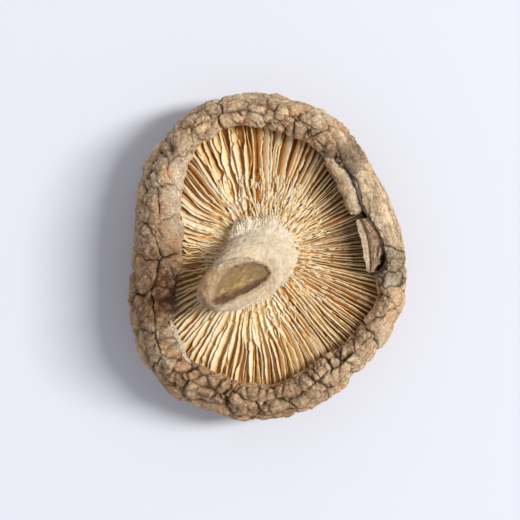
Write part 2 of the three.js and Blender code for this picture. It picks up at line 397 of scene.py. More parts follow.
# How strongly the skin has cracked: least on the smooth right flank and the felted lip at the upper left.
flank = within(signed_angle, -0.18, 0.1, 0.75, 1.0) * smooth(cap_span, 2.6, 4.2)
felted_lip = within(signed_angle, 2.1, 2.3, 2.75, 2.95) * smooth(cap_span, 6.2, 6.9)
at_bottom = within(-signed_angle, 0.5, 0.9, 2.3, 2.7)
deep = np.clip(0.85 + 0.5 * clouds(cap_places, 7.0, 11), 0.25, 1.25)
deep = (deep + 0.15 * at_bottom) * (1 - 0.75 * flank) * (1 - 0.85 * felted_lip)
deep = deep * (1 - spots(cap_places, (0.7, -17.6, 3.6, 1.3, 4.0), (0.65, -16.9, -11.8, 1.1, 2.6)))
warp = np.stack([
    noise(cap_places, (0.9, 3.0, k), (0.5, 1.3, k + 5), (0.18, 0.6, k + 9)) for k in (1, 2, 3)
], axis=-1)
cobble, cell = nearest_crease((cap_places + warp).reshape(-1, 3), cobble_middles())
cobble, cell = cobble.reshape(cap_span.shape), cell.reshape(cap_span.shape)

# Folds run across the inner rim at the top and the bottom. Knobs and fine cracks break up the rest of
# the skin, hardly the smooth flank, and most of all the patch above the crack.
wavy_angle = cap_angle + noise(cap_places, (0.03, 2.4, 21), (0.012, 0.8, 23))
wavy_length = cap_length + noise(cap_places, (0.9, 2.4, 22), (0.25, 0.8, 24))
fold = folds(wavy_angle, wavy_length, 1.9, 7.0, 5.0)
folded = np.maximum(within(signed_angle, 0.95, 1.2, 2.0, 2.3), within(-signed_angle, 0.5, 0.9, 2.4, 2.8))
folded = folded * (0.6 + 0.8 * clouds(cap_places, 4.0, 37))
fold_share = smooth(cap_span, 4.6, 5.8) * np.clip(folded + 0.1, 0, 1)
above_crack = spot(cap_places, 12.0, 15.5, 3.0, 4.0, -0.6)
knob = folds(wavy_angle + 0.013, wavy_length, 2.3, 3.6, 13.0)
knob_share = np.clip(0.35 + 1.3 * clouds(cap_places, 4.5, 33) + 1.2 * above_crack, 0, 1)
knob_share = knob_share * (1 - 0.8 * flank) * (1 - 0.8 * felted_lip)
fine = folds(wavy_angle, wavy_length, 1.0, 1.7, 9.0)
fine_share = np.clip(0.4 + 1.1 * clouds(cap_places, 3.5, 31) + above_crack, 0, 1)
fine_share = fine_share * (1 - 0.6 * felted_lip) * (1 - flank)

# Wrinkles lie side by side across the rim, at a slant of their own on each cobble. On the smooth flank
# they run along the rim as long streaks.
slant = 1.8 * (cell - 0.5)
wrinkle_angle = wavy_angle + slant * wavy_length / rim_radius
grain = np.stack([
    rim_radius * np.cos(wrinkle_angle), rim_radius * np.sin(wrinkle_angle), 0.3 * wavy_length + 7 * cell,
], axis=-1)
streak_run = np.stack([
    6 * np.cos(wavy_angle), 6 * np.sin(wavy_angle), wavy_length + 2.4 * cap_angle,
], axis=-1)
streak_run[..., 2] += 0.6 * clouds(cap_places, 2.0, 45)
grain = grain + flank[..., None] * (streak_run - grain)
valley = bell(clouds(grain, 0.62, 41), 0.22) + 0.6 * bell(clouds(grain, 0.4, 42), 0.25)
grit = noise(cap_places, (1, 0.42, 46), (0.6, 0.26, 47))
broken = np.clip(0.62 + 1.2 * clouds(cap_places, 1.9, 35), 0.08, 1.1)

line = deep * broken * bell(cobble, 0.17)
knob_line = knob_share * broken * bell(knob, 0.15)
fold_line = fold_share * bell(fold, 0.17)
fine_line = fine_share * bell(fine, 0.1)
on_edge = 1 - 0.35 * within(cap_span, 2.4, 3.0, 4.3, 5.2)
at_lip = smooth(cap_span, 6.6, 7.6)
sunk = (
    0.5 * on_edge * np.maximum(np.maximum(line, 0.7 * knob_line), 0.9 * fold_line)
    + 0.88 * deep * on_edge * pillow(cobble, 1.9)
    + 0.4 * knob_share * on_edge * pillow(knob, 0.8)
    + 0.4 * fold_share * pillow(fold, 0.8)
    + 0.1 * fine_line
    + 0.15 * valley
    - 0.1 * grit
    - noise(cap_places, (0.35, 5.0, 51), (0.12, 1.4, 53))
    + 0.5 * at_lip * (0.5 + clouds(cap_places, 2.2, 55))
    + 0.25 * at_lip * felted_lip * clouds(cap_places, 0.7, 56)
)
skin = within(cap_span, 1, 1.3, lip_span + 0.2, lip_span + 1)
cap_grid = cap_places - cap_normals * (sunk * skin)[..., None]
cap_grid[..., 2] = np.maximum(0, cap_grid[..., 2])

# Where the skin changes colour: a brown stain at the left, grey patches, pale bare flesh by the tear, and
# pale patches, some of them painted highlights.
upper = smooth(cap_grid[..., 2], 7, 10)
stain = upper * np.clip(spots(
    cap_grid, (1.3, -15.7, -5.3, 2.8, 4.9), (0.8, -16.4, -6.9, 2.3, 0.9), (0.25, -18.5, -5.0, 2.2, 5.0),
), 0, 1)
right_patch = (19.2, -3.6)
grey = upper * np.clip(
    spots(
        cap_grid, (1, 10.3, 15.6, 2.2, 3.2, -0.6), (0.3, *right_patch, 1.5, 1.0), (1, -15.5, 16.6, 1.6),
        (0.8, 12.6, 13.4, 1.6),
    ) + 0.06 * smooth(clouds(cap_grid, 4.2, 61), 0.1, 0.8), 0, 1,
)
to_crack = near_path(cap_grid, crack, 90)
flesh = upper * np.clip(
    bell(to_crack, 0.9) * (0.55 + 0.5 * clouds(cap_grid * (1, 0.5, 1), 0.9, 71)) + 0.9 * felted_lip
    + 3.0 * spot(cap_grid, -13.6, -12.4, 2.4, 1.3, -1.03) * smooth(cap_span, 6.2, 6.6), 0, 1,
)
# Pale patches, with painted highlights on two lumps at the lower left and on the middles of the cobbles, away
# from the creases.
pale_and_highlight = upper * (
    spots(
        cap_grid, (0.9, 7.9, 22.1, 1.0), (1.1, *right_patch, 1.5, 1.0), (0.8, 12.2, -11.6, 0.8),
        (0.5, -17.4, -11.6, 1.8, 0.9, -0.5), (0.7, -16.2, -15.6, 1.5, 0.7, -0.7),
    )
    + 0.3 * smooth(cobble, 0.7, 1.8) * smooth(clouds(cap_grid, 1.8, 93), -0.1, 0.6)
    + 0.18 * smooth(clouds(cap_grid, 2.2, 65), 0.35, 0.8)
)
hole = upper * spots(cap_grid, (1, 13.8, -19.7, 0.7, 0.9), (0.6, -15.4, 17.2, 0.5, 0.9, 0.4))
ledge = upper * spot(cap_grid, -16.4, -6.9, 2.5, 0.8)
cap_grid = cap_grid - cap_normals * ((1.2 * hole + 0.6 * ledge) * skin)[..., None]

# What is dark: painted shade down the creases and the wrinkles' valleys, widest at the bottom, along the wall
# of the crack, in two thin cracks that branch off it and in the holes; the edge of the patch at the right;
# and the band in the stain.
wall_line = torn * smooth(cap_span, 6.3, 6.7) * (1 - smooth(to_crack, 0.4, 0.9))
wall_line = wall_line * (0.5 + 0.5 * smooth(-cap_grid[..., 1], -3.0, -1.5))
split = np.array([(17.6, 2.4), (18.4, 1.8), (19.2, 1.75), (20.2, 1.2), (21.5, 0.9)])
branch = np.array([(12.9, 13.0), (13.6, 12.4), (14.2, 10.9), (14.6, 9.4)])
thin_cracks = sum(bell(near_path(cap_grid + 0.12 * warp, path, 60), 0.13) for path in (split, branch))
patch_x, patch_y = cap_grid[..., 0] - right_patch[0], cap_grid[..., 1] - right_patch[1]
patch_edge = np.hypot(patch_x / 1.8, patch_y / 1.3) + 0.5 * clouds(cap_grid, 1.2, 91)
thin_cracks = thin_cracks + 0.9 * bell(patch_edge - 1, 0.1)
shade_and_dark_marks = np.maximum(np.maximum(line, fold_line), np.maximum(0.75 * knob_line, 0.5 * fine_line))
shade_and_dark_marks = shade_and_dark_marks + 0.3 * at_bottom * bell(cobble, 0.35)
shade_and_dark_marks = shade_and_dark_marks + (0.2 + 0.3 * flank) * valley + hole + 0.85 * wall_line + upper * thin_cracks
band = 1.35 * spot(cap_grid, -16.3, -6.6, 2.3, 0.72, 0.12) * (0.8 + 0.45 * clouds(cap_grid, 0.9, 97))
shade_and_dark_marks = np.clip(shade_and_dark_marks + upper * np.clip(band, 0, 0.95), 0, 1) * skin
# Browner towards the bottom and the left, partly painted shade, and in lumps at random.
weathered = np.clip(
    0.9 * within(-signed_angle, 0.9, 1.7, 2.9, 3.1) + 0.62 * smooth(np.abs(signed_angle), 2.4, 2.8)
    + 0.35 * clouds(cap_places, 5.0, 63), 0, 1,
)

# The flesh colour also carries the pale patches and their painted highlights.
cap = closed_grid("cap_skin", cap_grid, [(0, 0, 0), (0, 0, seat_depth)], {
    "crease": shade_and_dark_marks, "stain": stain, "grey": grey, "flesh": np.clip(flesh + pale_and_highlight, 0, 1),
    "flank": flank, "weathered": weathered, "grain": grain,
})

# Dried mushroom skin: matt and leathery, tan with pale patches and painted highlights on the cobbles, and
# dark brown down the creases, which is mostly painted shade. It is mottled in lumps of 2.4 mm, blotched in
# lumps of 1.1 mm and speckled in grains of 0.4 mm, and its scales are lumps to the millimetre. The grain
# attribute is in millimetres, with wrinkles 0.3 mm apart.
skin_material, tree = empty_material("dried_cap_skin")
place = add(tree, "ShaderNodeTexCoord").outputs["Object"]
mottle = add(tree, "ShaderNodeTexNoise", {
    "Vector": place, "Scale": 0.42 / MM, "Detail": 5.0, "Roughness": 0.62,
})
tone = add(tree, "ShaderNodeMapRange", {"Value": mottle.outputs["Fac"], "From Min": 0.32, "From Max": 0.68})
# Colour mixes take their two colours at sockets 6 and 7, and give the result at output 2.
tan = add(tree, "ShaderNodeMix", {0: tone.outputs["Result"], 6: linear("#f3bf8e"), 7: linear("#ffe4bb")},
          data_type="RGBA").outputs[2]


def layer(tree, under, colour, attribute, share=1.0, breaks=None):
    """The colour under it, covered by another colour as far as an attribute says times a share, and
    broken up by a noise texture where one is given."""
    amount = add(tree, "ShaderNodeAttribute", attribute_name=attribute).outputs["Fac"]
    for factor in (breaks, share):
        if factor is not None:
            amount = add(tree, "ShaderNodeMath", {0: amount, 1: factor},
                         operation="MULTIPLY", use_clamp=True).outputs[0]
    return add(tree, "ShaderNodeMix", {0: amount, 6: under, 7: linear(colour)}, data_type="RGBA").outputs[2]


blotch = add(tree, "ShaderNodeTexNoise", {
    "Vector": place, "Scale": 0.9 / MM, "Detail": 3.0, "Roughness": 0.6,
})
patchy = add(tree, "ShaderNodeMapRange", {
    "Value": blotch.outputs["Fac"], "From Min": 0.35, "From Max": 0.62, "To Min": 0.45, "To Max": 1.15,
}).outputs["Result"]
# Browner, partly painted shade, towards the bottom and the left of the cap.
colour = layer(tree, tan, "#a97548", "weathered", 0.6, patchy)
colour = layer(tree, colour, "#ffddb3", "flank", 0.8)
# Pale flesh, and on the cap the painted highlights.
colour = layer(tree, colour, "#fae6c6", "flesh", 0.92, patchy)
colour = layer(tree, colour, "#8c7362", "grey", 0.75, patchy)
colour = layer(tree, colour, "#5c3415", "stain", 0.92, patchy)
speckle = add(tree, "ShaderNodeTexNoise", {
    "Vector": place, "Scale": 2.6 / MM, "Detail": 2.0, "Roughness": 0.7,
})
speckles = add(tree, "ShaderNodeMapRange", {
    "Value": speckle.outputs["Fac"], "From Min": 0.34, "From Max": 0.66, "To Min": 0.7, "To Max": 1.3,
}).outputs["Result"]
colour = add(tree, "ShaderNodeVectorMath", {0: colour, "Scale": speckles}, operation="SCALE").outputs[0]
# Dark brown, mostly painted shade down the creases, cracks and holes.
colour = layer(tree, colour, "#3f260f", "crease", 0.9)
run = add(tree, "ShaderNodeAttribute", attribute_name="grain").outputs["Vector"]
wrinkles = add(tree, "ShaderNodeTexNoise", {"Vector": run, "Scale": 3.4, "Detail": 5.0, "Roughness": 0.68})
relief = add(tree, "ShaderNodeMath", {0: wrinkles.outputs["Fac"], 1: 2.5, 2: speckle.outputs["Fac"]},
             operation="MULTIPLY_ADD")
bump = add(tree, "ShaderNodeBump", {"Height": relief.outputs[0], "Strength": 1.0, "Distance": 0.27 * MM})
shader = add(tree, "ShaderNodeBsdfPrincipled", {
    "Base Color": colour, "Roughness": 0.85, "IOR": 1.45, "Specular IOR Level": 0.25,
    "Normal": bump.outputs["Normal"],
})
add(tree, "ShaderNodeOutputMaterial", {"Surface": shader.outputs["BSDF"]})

# Torn rim: at the right the rolled rim has split along a crack. A rounded strip of flesh lies inside it,
# broken off at a notch, and below the notch a thin folded flap lies beside a dark hole. Slivers stand in
# the crack, and at the lower left the lip is an edge of bare white flesh.


def sweep(path, half_width, half_height, rows, columns=40, blunt=8):
    """A closed strip along a run of points, as a grid of points: an ellipse stands across the smooth
    path at each row, with half axes that run smoothly through the given ones, and they shrink at the
    ends by the square root of 1 - |2t - 1| to a power that says how blunt the ends are."""
    t = np.linspace(0.003, 0.997, rows)
    middle = along(np.array(path, float)[None], t)[0]
    halves = along(np.stack([half_width, half_height], axis=-1)[None].astype(float), t)[0]
    halves = halves * np.sqrt(1 - np.abs(2 * t - 1) ** blunt)[:, None]
    ahead = np.gradient(middle, axis=0)
    side = np.stack([-ahead[:, 1], ahead[:, 0], 0 * t], axis=-1)
    side = side / np.linalg.norm(side, axis=1, keepdims=True)
    over = np.cross(ahead, side)
    over = over / np.linalg.norm(over, axis=1, keepdims=True)
    corner = (np.arange(columns) * turn / columns)[None, :, None]
    return (
        middle[:, None] + halves[:, None, :1] * side[:, None] * np.cos(corner)
        + halves[:, None, 1:] * over[:, None] * np.sin(corner)
    )


def flesh_piece(name, grid, **patches):
    """A closed piece of torn flesh, with a pole in the middle of each end row. A colour patch that isn't
    given is an attribute of zeros."""
    absent = np.zeros(grid.shape[:2])
    attributes = {key: absent for key in ("crease", "stain", "grey", "flesh", "flank", "weathered")}
    attributes.update({key: absent + value for key, value in patches.items()}, grain=grid)
    return closed_grid(name, grid, [tuple(grid[0].mean(0)), tuple(grid[-1].mean(0))], attributes)


strip_path = [
    (9.1, 16.9, 12.2), (10.3, 14.7, 13.0), (11.35, 13.0, 13.5), (12.3, 11.1, 13.5), (13.0, 9.3, 13.4),
    (13.5, 7.9, 13.2), (13.75, 7.15, 13.0),
]
strip_half_widths = [1.1, 1.25, 1.3, 1.3, 1.25, 1.1, 1.0]
strip_half_heights = [0.9, 1.1, 1.25, 1.25, 1.15, 1.0, 0.9]
strip_rows, strip_columns = 130, 72
strip_grid = sweep(strip_path, strip_half_widths, strip_half_heights, strip_rows, strip_columns, 16)
along_strip = np.array([[0.9, 0.45, 0], [0.1, -0.2, 0], [0, 0, 1.0]])
stringy = clouds(strip_grid @ along_strip.T, 0.45, 81)
strip_rough = 0.12 * stringy + noise(strip_grid, (0.2, 1.3, 82), (0.1, 0.5, 83), (0.07, 0.28, 80))
strip_grid = strip_grid + normals_of(strip_grid) * strip_rough[..., None]
strip_share = np.linspace(0, 1, strip_rows)[:, None] + np.zeros(strip_columns)
strip_side = np.cos(np.arange(strip_columns) * turn / strip_columns)[None] + 0 * strip_share
across_end = np.dstack([1.5 * strip_side, 0 * strip_side, 0 * strip_side])
jagged = smooth(strip_share, 0.93, 1.0) * clouds(across_end, 0.3, 79)
strip_grid = strip_grid + 0.35 * jagged[..., None] * np.array([0.35, -0.9, 0.0])
# Cream flesh on the side towards the crack, lighter there as painted light, and grey on the other side as
# painted shade, with grey patches at random; the broken end is cream.
strip_flesh_and_light = 0.3 + 1.8 * strip_side + 0.4 * stringy + 0.9 * smooth(strip_share, 0.9, 0.97)
strip_grey_and_shade = 0.2 - 0.9 * strip_side + 0.9 * clouds(strip_grid, 1.2, 86) - smooth(strip_share, 0.85, 0.95)
strip = flesh_piece(
    "torn_strip", strip_grid,
    flesh=np.clip(strip_flesh_and_light, 0, 1.4) * smooth(strip_share, 0.15, 0.4), grey=np.clip(strip_grey_and_shade, 0, 1),
)

flap_left = np.array([
    (13.85, 5.9, 13.1), (14.05, 4.7, 13.3), (14.25, 3.5, 13.2), (14.7, 1.3, 13.3), (15.1, -0.75, 13.1),
    (15.6, -2.4, 12.8),
])
flap_right = np.array([
    (16.0, 6.3, 13.4), (17.3, 4.9, 13.8), (18.1, 3.0, 13.6), (17.9, 1.0, 13.0), (17.5, -0.8, 12.7),
    (16.6, -2.3, 12.5),
])
flap_rows, flap_columns = 130, 110
flap_share = np.linspace(0, 1, flap_rows)
left, right = along(flap_left[None], flap_share)[0][:, None], along(flap_right[None], flap_share)[0][:, None]
corner = (np.arange(flap_columns) * turn / flap_columns)[None]
across = np.cos(corner) + 0 * flap_share[:, None]
down = flap_share[:, None] + 0 * across
flap_grid = (left + right) / 2 + (right - left) / 2 * across[..., None]
seen_flat = flap_grid * (1, 1, 0) + (0, 0, 9.1)
ragged_edge = np.dstack([clouds(seen_flat, 0.6, 84), clouds(seen_flat, 0.5, 88)])
flap_grid[..., :2] += 0.22 * np.abs(across[..., None]) ** 3 * ragged_edge
# Across it: a flat pale border at the left, a crease, a wrinkled swelling, and a fall to the hole.
fold_at = -0.45 + 0.25 * down
swelling = smooth(across, fold_at, fold_at + 0.25)
swelling = swelling * (1 - 0.9 * smooth(across, 0.35, 0.9) * smooth(down, 0.35, 0.7))
crease = bell(across - fold_at, 0.07)
slanted = np.dstack([2.2 * (across - 1.3 * down), 0.5 * (down + across), 0 * across])
crumple = noise(slanted, (1, 0.35, 85), (0.5, 0.17, 86))
rough = noise(flap_grid, (1, 0.5, 89), (0.6, 0.27, 90))
inward = np.clip(1 - np.abs(across) ** 6, 0, 1)
flap_grid[..., 2] += 0.28 * np.sin(corner) + inward * (
    0.5 * swelling * (1 - 0.5 * down) - 0.3 * crease + 0.18 * crumple * swelling + 0.1 * rough
)
ridge = bell(across - 0.25 + 0.5 * (down - 0.6), 0.09) * smooth(down, 0.45, 0.6)
flap_grid[..., 2] += 0.3 * ridge * inward
flap_flesh = (0.75 + 0.5 * rough) * (1 - smooth(across, fold_at - 0.2, fold_at)) + 0.9 * ridge
flap_flesh = np.clip(flap_flesh + 0.8 * smooth(down, 0.86, 0.95), 0, 1)
# Painted shade darkens the flap's crease and the hollows of its crumples.
flap = flesh_piece(
    "torn_flap", flap_grid, flesh=flap_flesh, weathered=0.8 * swelling,
    crease=np.clip(0.5 * crease + 0.45 * smooth(-crumple, 0.2, 0.6) * swelling, 0, 1),
    grey=np.clip(0.3 + 0.6 * rough, 0, 1) * (1 - flap_flesh),
)

# Each sliver runs through four places, and the number after them is half its width.
sliver_paths = [
    ([(13.2, 12.6, 13.6), (13.7, 11.4, 14.2), (14.3, 9.7, 14.2), (14.7, 8.3, 13.5)], 0.22),
    ([(17.5, 2.0, 13.4), (17.55, 1.2, 14.0), (17.4, 0.4, 13.9), (17.2, -0.3, 13.1)], 0.2),
    ([(18.5, 1.9, 13.6), (18.9, 0.9, 14.0), (19.0, 0.0, 13.9), (18.6, -1.2, 13.1)], 0.2),
]
slivers = []
for number, (path, thick) in enumerate(sliver_paths, start=1):
    sliver_grid = sweep(path, [thick] * 4, [0.6 * thick] * 4, 30, 12, 3)
    slivers.append(flesh_piece(f"torn_sliver_{number}", sliver_grid, flesh=1))

# The bare white edge follows the row of the skin at the lip, and it is lumpy.
lip_row = np.abs(cap_rows - 7.75).argmin()
lip_columns = np.arange(438, 479, 8)
edge_path = cap_grid[lip_row, lip_columns] + [0.08, 0.06, 0.1]
edge_grid = sweep(edge_path, [0.3, 0.4, 0.42, 0.42, 0.4, 0.3], [0.4] * 6, 110, 28, 6)
edge_lumps = noise(edge_grid, (0.26, 0.6, 95), (0.14, 0.3, 96))
edge_grid = edge_grid + normals_of(edge_grid) * edge_lumps[..., None]
bare_edge = flesh_piece("bare_lip_edge", edge_grid, flesh=1.5)
for piece in (cap, strip, flap, bare_edge, *slivers):
    piece.data.materials.append(skin_material)
    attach(piece, "root")
    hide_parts("cap")

# Gills: thin blades of flesh that hang edge out from a thin bed, long ones from the stem to the rim
# with shorter and finer ones between. Dried, they have leant over in sets, split and frayed.
blade_count = 132
gill_floor = 8.5
gill_edge = 10.6
stem_base = np.array([-1.0, 0.3])
gill_inner_radius = 5.0


def gill_place(angle, share, lift=1.3):
    """The place in plan at a share of the way out: from a circle round the stem to the lip's outline
    about the origin and a little under it, on the straight line between."""
    inner = gill_inner_radius * np.stack([np.cos(angle), np.sin(angle)], axis=-1) + stem_base
    far = (around(lip_radii, angle) + lift)[..., None] * np.stack([np.cos(angle), np.sin(angle)], axis=-1)
    return inner + (far - inner) * share[..., None]


def lit_gaps(bearing):
    """How far the lamp's light gets down between the blades at each bearing about the stem, from 0 to 1:
    furthest at the bottom and at the left, where the blades lie along the light."""
    return np.clip(bell(bearing + 1.75, 0.7) + smooth(np.abs(bearing), 2.3, 2.7), 0, 1)


def tubes(name, rings, attributes=None):
    """Many closed tubes as one piece, from points (tube, station, corner, xyz): quads between stations,
    and one flat face at each end. The corners' order is turned if the volume comes out negative."""
    count, stations, corners = rings.shape[:3]
    mid = rings.mean(axis=2, keepdims=True)
    spin = np.cross(rings - mid, np.roll(rings, -1, axis=2) - mid).sum(axis=2)
    ahead = np.gradient(mid[:, :, 0], axis=1)
    index = np.arange(rings[..., 0].size).reshape(count, stations, corners)
    if (spin * ahead).sum() < 0:
        index = index[:, :, ::-1]
    beside = np.roll(index, -1, axis=2)
    sides = np.stack([index[:, :-1], beside[:, :-1], beside[:, 1:], index[:, 1:]], axis=-1).reshape(-1, 4)
    faces = [sides, index[:, 0, ::-1], index[:, -1]]
    return mesh_of(name, rings.reshape(-1, 3), faces, attributes)


def blades(name, k, start, stations, highest, thickest, leaning):
    """A piece of many blades, one for each number k of the places round the stem, from a share of the way
    out to the rim. Each stands on the bed along its own ray, shifts sideways by soft noise and by its
    lean and curl, which grow with the height, and has a ragged edge."""
    k = k[:, None]
    local = np.linspace(0, 1, stations)[None] + 0 * k
    s = start[:, None] + (1 - start[:, None]) * local
    middle = turn * (k + 0.4 * (scatter(k + 10.0) - 0.5)) / blade_count
    ray = gill_place(middle + 0 * s, s)
    out = np.linalg.norm(ray, axis=-1)
    bearing = signed(middle + 0 * s)
    own = np.stack([out, 7.7 * k + 0 * s, 0 * s], axis=-1)
    field = np.concatenate([ray, 0 * out[..., None]], axis=-1)

    # The sets lean one way or the other, furthest over at the bottom and the top, least at the right.
    lying = 0.25 + 0.75 * np.clip(
        bell(bearing + 1.75, 0.75) + bell(bearing - 1.85, 0.5) + 0.7 * bell(bearing - 2.6, 0.3), 0, 1,
    )
    sets = clouds(np.stack([bearing * 2.6, s * 1.3, 0 * s], axis=-1), 1.0, 3)
    sets = sets + 0.6 * spot(field, -11.5, 6.5, 4.0)
    lean = 0.8 * np.tanh(2.4 * sets) + 0.35 * (scatter(k + 90.0) - 0.5) + 0.15 * clouds(own, 4.0, 5)
    lean = lying * leaning * lean
    zigzag = bell(np.abs(bearing) - 3.1, 0.3) + 0.5 * (1 - smooth(s, 0.05, 0.3))
    shift = 0.12 * clouds(field, 6.0, 4) + 0.04 * clouds(own, 2.4, 6)
    shift = shift + (0.03 + 0.28 * zigzag) * clouds(own, 0.8, 7)
    # A blade that starts part of the way out branches off its neighbour.
    to_side = np.where(scatter(k + 120.0) > 0.5, 1.0, -1.0)
    spacing = turn / blade_count * out
    shift = shift + (start[:, None] > 0) * to_side * 0.55 * spacing * (1 - smooth(local, 0.0, 0.35))

    ragged = noise(own, (1, 0.45, 8), (0.6, 0.22, 18))
    nick = smooth(clouds(own, 0.9, 9), 0.45, 0.75) * (0.4 + 0.6 * (scatter(k + 15.0) > 0.5))
    crumbly = 0.05 + 0.07 * (1 - smooth(s, 0.1, 0.5))
    highest = highest * (1 - 0.5 * (1 - leaning) * lying)
    tall = (gill_edge - gill_floor) * highest * (0.9 + 0.12 * clouds(own, 2.5, 19) + crumbly * ragged)
    tall = tall - 0.5 * nick * smooth(s, 0.12, 0.4)
    tall = tall * (1 - 0.25 * smooth(s, 0.85, 1.0)) * (0.15 + 0.85 * smooth(local, -0.03, 0.09))
    across = np.stack([-np.sin(middle) + 0 * s, np.cos(middle) + 0 * s], axis=-1)
    # Near the tear at the right the blades are thinner, and the rim's shadow on them is painted into their
    # colour.
    by_tear = spot(field, 12.5, 4.0, 6.0, 10.0)
    half = thickest * (0.6 + 0.8 * scatter(k + 60.0)) * (1 + 0.25 * clouds(own, 0.6, 20))
    half = half * (1 - 0.3 * by_tear)
    curl = 0.35 * np.tanh(2 * clouds(own, 4.0, 21)) * lying
    # Painted light and shade: lighter where the upper left blades face the lamp, darker at the left, partly
    # painted shadow and partly a browner tone, and darker by the tear at the right, painted shadow of the
    # rim.
    patches = 1 + spots(field, (0.12, -11.5, 6.5, 3.5, 4.0), (-0.3, -12.0, -1.5, 2.4, 4.0))
    patches = patches - (0.12 + 0.2 * smooth(s, 0.4, 0.95)) * by_tear
    # The blade's outline across: up one side and down the other, at shares of its height and thickness.
    one_side = [(0.0, 1.5), (0.4, 1.15), (0.72, 0.9), (0.92, 0.75), (1.0, 0.4)]
    outline = [(-1, *pair) for pair in one_side] + [(1, *pair) for pair in one_side[::-1]]
    loops, heights, fibres = [], [], []
    for side, v, fat in outline:
        leant = tall * np.sin(lean) * v ** 1.2 + curl * v ** 3
        sideways = shift * (0.4 + 0.6 * v) + leant + side * half * fat
        in_plan = ray + across * sideways[..., None]
        z = gill_floor - 0.3 + tall * v * np.cos(lean)
        loops.append(np.concatenate([in_plan, z[..., None]], axis=-1))
        # The colour follows the share up the blade, dark amber low down as painted shade and cream at the
        # edge. Low down it is lighter near the stem, and painted lighter where the lamp's light gets between
        # the blades.
        lightness_up_blade = v * tall / (gill_edge - gill_floor) + 0.35 * (1 - v) * (1 - smooth(s, 0.0, 0.5))
        heights.append((lightness_up_blade + 0.45 * (1 - v) * lit_gaps(bearing)) * patches)
        fibres.append(np.stack([0.3 * out, v * tall + 0.5 * side, 3.1 * k + 0 * s], axis=-1))
    rings = np.stack(loops, axis=2)
    # Each blade's own tone, and painted shade by the tear at the right.
    own_tint = np.repeat((scatter(k + 33.0) + 1.1 * by_tear)[..., None], rings.shape[2], axis=2)
    return tubes(name, rings, {
        "height": np.stack(heights, axis=2), "tint": own_tint, "fibre": np.stack(fibres, axis=2),
    })


even, odd = np.arange(0.0, blade_count, 2), np.arange(1.0, blade_count, 2)
between = np.arange(blade_count) + 0.5
gills = [
    blades("gill_blades_long", even, 0 * even, 92, 1.0, 0.16, 1.0),
    blades("gill_blades_short", odd, 0.01 + 0.22 * scatter(odd + 40.0), 84, 0.97, 0.14, 0.9),
    blades("gill_blades_fine", between, 0.08 + 0.45 * scatter(between + 50.0), 60, 0.84, 0.09, 0.35),
]

# Crumbs: slivers of blade that broke beside the stem and lie caught between the blades, mostly at the top.
draw = np.random.default_rng(11)
crumb_count = 700
at_top = draw.random(crumb_count) < 0.55
crumb_bearing = np.where(
    at_top, draw.normal(1.2, 0.45, crumb_count), draw.uniform(-np.pi, np.pi, crumb_count),
)
crumb_at = gill_place(crumb_bearing, 0.02 + 0.5 * draw.random(crumb_count) ** 1.6)
crumb_aim = crumb_bearing + draw.normal(0, 0.16, crumb_count)
crumb_long = draw.uniform(0.5, 1.9, crumb_count)[:, None]
share = np.linspace(-0.5, 0.5, 5)[None]
ahead = np.stack([np.cos(crumb_aim), np.sin(crumb_aim), 0 * crumb_aim], axis=-1)[:, None]
beside = np.stack([-np.sin(crumb_aim), np.cos(crumb_aim), 0 * crumb_aim], axis=-1)[:, None]
bent = draw.normal(0, 0.09, crumb_count)[:, None] * (4 * share ** 2 - 0.5)
crumb_top = gill_floor + draw.uniform(1.0, 1.9, crumb_count)[:, None]
crumb_middle = (share * crumb_long)[..., None] * ahead + bent[..., None] * beside
crumb_middle = crumb_middle + np.concatenate([crumb_at, 0 * crumb_at[:, :1]], axis=1)[:, None]
crumb_middle[..., 2] += crumb_top + 0.3 * draw.normal(size=(crumb_count, 1)) * share - 0.5 * share ** 2
crumb_thin = draw.uniform(0.09, 0.17, crumb_count)[:, None] * (1 - 1.6 * share ** 2)
crumb_thin = crumb_thin * draw.uniform(0.7, 1.3, (crumb_count, 5))
crumb_deep = crumb_thin * draw.uniform(1.2, 2.6, crumb_count)[:, None]
corner = np.arange(4) * turn / 4
crumb_rings = (
    crumb_middle[:, :, None]
    + (crumb_thin[..., None] * np.cos(corner))[..., None] * beside[:, :, None]
    + (crumb_deep[..., None] * (np.sin(corner) - 0.6))[..., None] * np.array([0.0, 0.0, 1.0])
)
crumb_bright = np.clip(0.7 + 0.28 * draw.random(crumb_count)[:, None, None] + 0 * crumb_rings[..., 0], 0, 1)
# Each crumb is painted darker along its underside, as shade.
crumbs = tubes("gill_crumbs", crumb_rings, {
    "height": crumb_bright - 0.25 * (np.sin(corner) < -0.5),
    "tint": 0.9 * draw.random(crumb_count)[:, None, None] + 0 * crumb_bright,
    "fibre": crumb_rings * [0.5, 0.5, 1.0],
})
gills.append(crumbs)

# The bed between the blades, from under the collar to under the rim, with low ridges along them. It
# lies deepest near the rim.
bed_bottom = 6.5
bed_columns, bed_top_rows = 720, 50
bed_share = np.concatenate([np.linspace(0, 1, bed_top_rows), np.linspace(1, 0, 4)])
bed_angles, bed_shares = np.meshgrid(np.arange(bed_columns) * turn / bed_columns, bed_share)
bed_plan = gill_place(bed_angles, bed_shares, 1.5)
bed_run = np.dstack([13 * np.cos(bed_angles), 13 * np.sin(bed_angles), 1.6 * bed_shares])
bed_rise = 0.75 * (1 - smooth(bed_shares, 0.1, 0.8)) + 0.3 * noise(bed_run, (1, 0.5, 12), (0.5, 0.27, 13))
on_top = (np.arange(len(bed_share)) < bed_top_rows)[:, None]
bed_height = np.where(on_top, gill_floor + 0.25 + bed_rise, bed_bottom)
